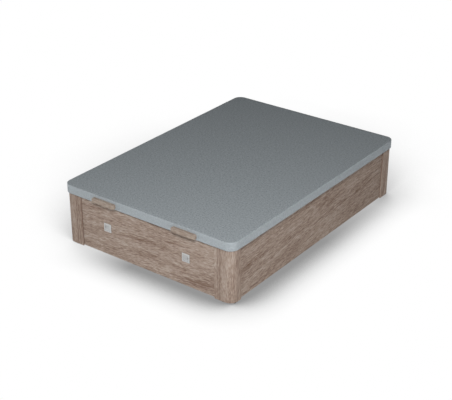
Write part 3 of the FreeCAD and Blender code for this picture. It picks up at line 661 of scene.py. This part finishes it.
def crown_points(outline, middle, top):
    """Rings of points over a top, from near its middle to near its edge, with a slight crown."""
    points = []
    for share in reversed(CROWN_SHARES):
        height = top + COVER_CROWN * math.sin(share * math.pi / 2)
        for place, outward in outline:
            inner = (place - outward * COVER_TOP_RADIUS).lerp(middle, share)
            points.append((inner.x, inner.y, height))
    return points


def rim_points(outline, profile, foot):
    """Rings of points down the rim and along the hem, and the same points on the flat cloth."""
    points, flat = [], []
    for inset, height, way in profile:
        for place, outward in outline:
            swell = ripple(place, way) if way > 0 else 0.0
            spot = place - outward * (inset - swell)
            points.append((spot.x, spot.y, foot + height))
            flat.append(place + outward * (way - COVER_TOP_RADIUS))
    return points, flat


def pad_side_points(outline, low, top):
    """Rings of points round the pad's soft upper edge and down its side."""
    profile = [(COVER_TOP_RADIUS * rise, top - COVER_TOP_RADIUS * drop) for rise, drop in quarter_turn()]
    points = []
    for inset, height in profile + [(0.0, low)]:
        for place, outward in outline:
            spot = place - outward * (inset + COVER_CLEARANCE)
            points.append((spot.x, spot.y, height))
    return points


def ring_faces(count, rings):
    """Faces between rings of points, each ring with the same count, and one over the first ring."""
    faces = []
    for ring in range(rings - 1):
        upper = ring * count
        lower = upper + count
        for i in range(count):
            j = (i + 1) % count
            faces.append((upper + i, lower + i, lower + j, upper + j))
    faces.append(tuple(range(count)))
    return faces


def mesh_object(name, points, faces, material):
    """A smooth mesh of one material, put into the scene."""
    mesh = bpy.data.meshes.new(name)
    mesh.from_pydata(points, [], faces)
    mesh.update()
    mesh.polygons.foreach_set("use_smooth", [True] * len(mesh.polygons))
    mesh.materials.append(material)
    made = bpy.data.objects.new(name, mesh)
    bpy.context.scene.collection.objects.link(made)
    return made


def write_flat_map(made, flat):
    """The cloth's own flat coordinates, in metres, for its weave."""
    layer = made.data.uv_layers.new(name="flat")
    for loop in made.data.loops:
        layer.data[loop.index].uv = flat[loop.vertex_index]


def lid_cover(material):
    """The mesh cloth, stretched over the lid and turned in under its rails."""
    low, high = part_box("lid_cover")
    hem = high.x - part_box("right_rail")[0].x
    size = high - low
    outline = rounded_outline(low.xy, high.xy, LID_CORNER_RADIUS)
    crown = crown_points(outline, (low.xy + high.xy) / 2, high.z)
    rim, rim_flat = rim_points(outline, cover_profile(size.z, hem), low.z)
    points = crown + rim
    faces = ring_faces(len(outline), len(points) // len(outline))
    cover = mesh_object("lid_cover_cloth", points, faces, material)
    write_flat_map(cover, [point[:2] for point in crown] + rim_flat)
    shell = cover.modifiers.new("thickness", "SOLIDIFY")
    shell.thickness = COVER_THICKNESS
    shell.offset = -1.0
    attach(cover, "lid")
    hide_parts("lid_cover")


def lid_pad(material):
    """The thin foam pad under the cloth, with soft upper edges."""
    low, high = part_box("lid_pad")
    outline = rounded_outline(low.xy, high.xy, LID_CORNER_RADIUS - COVER_CLEARANCE)
    top = high.z - COVER_CLEARANCE
    points = crown_points(outline, (low.xy + high.xy) / 2, top) + pad_side_points(outline, low.z, top)
    count = len(outline)
    underside = tuple(reversed(range(len(points) - count, len(points))))
    faces = ring_faces(count, len(points) // count) + [underside]
    pad = mesh_object("lid_pad_foam", points, faces, material)
    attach(pad, "lid")
    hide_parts("lid_pad")


# Stage


def seen_directly(tree):
    """1 where a ray comes from the camera, a mirror or glass."""
    path = add_node(tree, "LightPath")
    share = maths(tree, "MAXIMUM", path["Is Camera Ray"], path["Is Glossy Ray"])
    return maths(tree, "MAXIMUM", share, path["Is Transmission Ray"])


def floor_openness(tree, lean, reach):
    """How open the space over the floor is within a reach, looking up with a lean to one side."""
    leaning = vectors(tree, "ADD", add_node(tree, "NewGeometry")["Normal"], lean)[0]
    return openness(tree, reach, SHADE_SAMPLES, vectors(tree, "NORMALIZE", leaning)[0])


def corner_fade(tree, corner, reach, least):
    """A share that grows to 1 with the distance from a corner."""
    spot = (corner.x, corner.y, cad_low.z)
    away = vectors(tree, "DISTANCE", object_place(tree), spot)["Value"]
    return between(tree, away, 0.0, reach, least, 1.0)


def close_shade(tree):
    """The floor's level close to the box, with less shade at its left foot and right head corners."""
    beside = floor_openness(tree, CLOSE_LEAN, CLOSE_REACH)
    level = ramp(tree, beside, [(stop, (value, value, value, 1.0)) for stop, value in CLOSE_LEVELS])
    foot = corner_fade(tree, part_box("foot_left_post")[0], *FOOT_CORNER_FADE)
    head = corner_fade(tree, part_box("head_right_post")[1], *HEAD_CORNER_FADE)
    share = maths(tree, "MULTIPLY", foot, head)
    depth = maths(tree, "MULTIPLY", maths(tree, "SUBTRACT", 1.0, level), share)
    return maths(tree, "SUBTRACT", 1.0, depth)


def cast_shade(tree):
    """The floor's level in the wide shade on the far sides of the box."""
    place = add_node(tree, "SeparateXYZ", {0: object_place(tree)})
    blocked = maths(tree, "SUBTRACT", 1.0, floor_openness(tree, CAST_LEAN, CAST_REACH))
    behind = maths(tree, "SUBTRACT", place["Y"], cad_high.y)
    aside = maths(tree, "SUBTRACT", cad_low.x, place["X"])
    share = between(tree, maths(tree, "MAXIMUM", behind, aside), -CAST_FADE, 0.0)
    depth = maths(tree, "MULTIPLY", between(tree, blocked, *CAST_BLOCKED, *CAST_DEPTH), share)
    return maths(tree, "SUBTRACT", 1.0, depth)


def add_floor():
    """A pale floor that shows white, with the soft shade that the bed leaves round itself."""
    material = bpy.data.materials.new("pale_floor")
    material.use_nodes = True
    tree = material.node_tree
    tree.nodes.clear()
    shade = maths(tree, "MULTIPLY", close_shade(tree), cast_shade(tree))
    shown = add_node(tree, "Emission", {"Color": shade, "Strength": 1.0})[0]
    lit = add_node(tree, "BsdfDiffuse", {"Color": (FLOOR_ALBEDO, FLOOR_ALBEDO, FLOOR_ALBEDO, 1.0)})[0]
    surface = add_node(tree, "MixShader", {0: seen_directly(tree), 1: lit, 2: shown})[0]
    add_node(tree, "OutputMaterial", {"Surface": surface})
    corners = [(FLOOR_HALF * x, FLOOR_HALF * y, cad_low.z) for x, y in FLOOR_CORNERS]
    mesh_object("floor", corners, [(0, 1, 2, 3)], material)


def set_world():
    """A white surround that gives the bed only a little light."""
    world = bpy.data.worlds.new("studio")
    bpy.context.scene.world = world
    world.use_nodes = True
    tree = world.node_tree
    tree.nodes.clear()
    shown = add_node(tree, "Background", {"Color": WHITE, "Strength": 1.0})[0]
    ambient = add_node(tree, "Background", {"Color": WHITE, "Strength": WORLD_LEVEL})[0]
    surface = add_node(tree, "MixShader", {0: seen_directly(tree), 1: ambient, 2: shown})[0]
    add_node(tree, "OutputWorld", {"Surface": surface})


def add_lamp(name, place, aim, size, power):
    """An oblong soft lamp that the camera doesn't see."""
    lamp = bpy.data.lights.new(name, "AREA")
    lamp.shape = "RECTANGLE"
    lamp.size, lamp.size_y = size
    lamp.energy = power
    made = bpy.data.objects.new(name, lamp)
    made.location = place
    made.rotation_euler = (aim - place).to_track_quat("-Z", "Y").to_euler()
    made.visible_camera = False
    bpy.context.scene.collection.objects.link(made)


def add_lamps():
    """One lamp over the near corner, and low strips on the left, on the right and behind the bed."""
    middle = (cad_low + cad_high) / 2
    add_lamp("key", KEY_PLACE, middle, (KEY_SIZE, KEY_SIZE), KEY_POWER)
    for (x, y), power in STRIPS:
        aim = Vector((middle.x, middle.y, STRIP_HEIGHT / 2))
        add_lamp("strip", Vector((x, y, STRIP_HEIGHT / 2)), aim, (STRIP_LENGTH, STRIP_HEIGHT), power)


def add_camera():
    """The camera, aimed from its azimuth and elevation."""
    lens = bpy.data.cameras.new("camera")
    lens.lens = CAMERA_FOCAL_MM
    lens.sensor_width = CAMERA_SENSOR_MM
    camera = bpy.data.objects.new("camera", lens)
    azimuth, elevation = math.radians(CAMERA_AZIMUTH), math.radians(CAMERA_ELEVATION)
    flat = math.cos(elevation)
    back = Vector((math.sin(azimuth) * flat, -math.cos(azimuth) * flat, math.sin(elevation)))
    camera.location = CAMERA_AIM + back * CAMERA_DISTANCE
    camera.rotation_euler = (-back).to_track_quat("-Z", "Y").to_euler()
    bpy.context.scene.collection.objects.link(camera)
    bpy.context.scene.camera = camera


finishes = make_finishes()
dress_nodes(finishes, make_lengthwise_finishes())
lid_cover(finishes["mesh_fabric"])
lid_pad(finishes["foam"])
add_floor()
set_world()
add_lamps()
add_camera()
bpy.context.scene.view_settings.view_transform = "Standard"
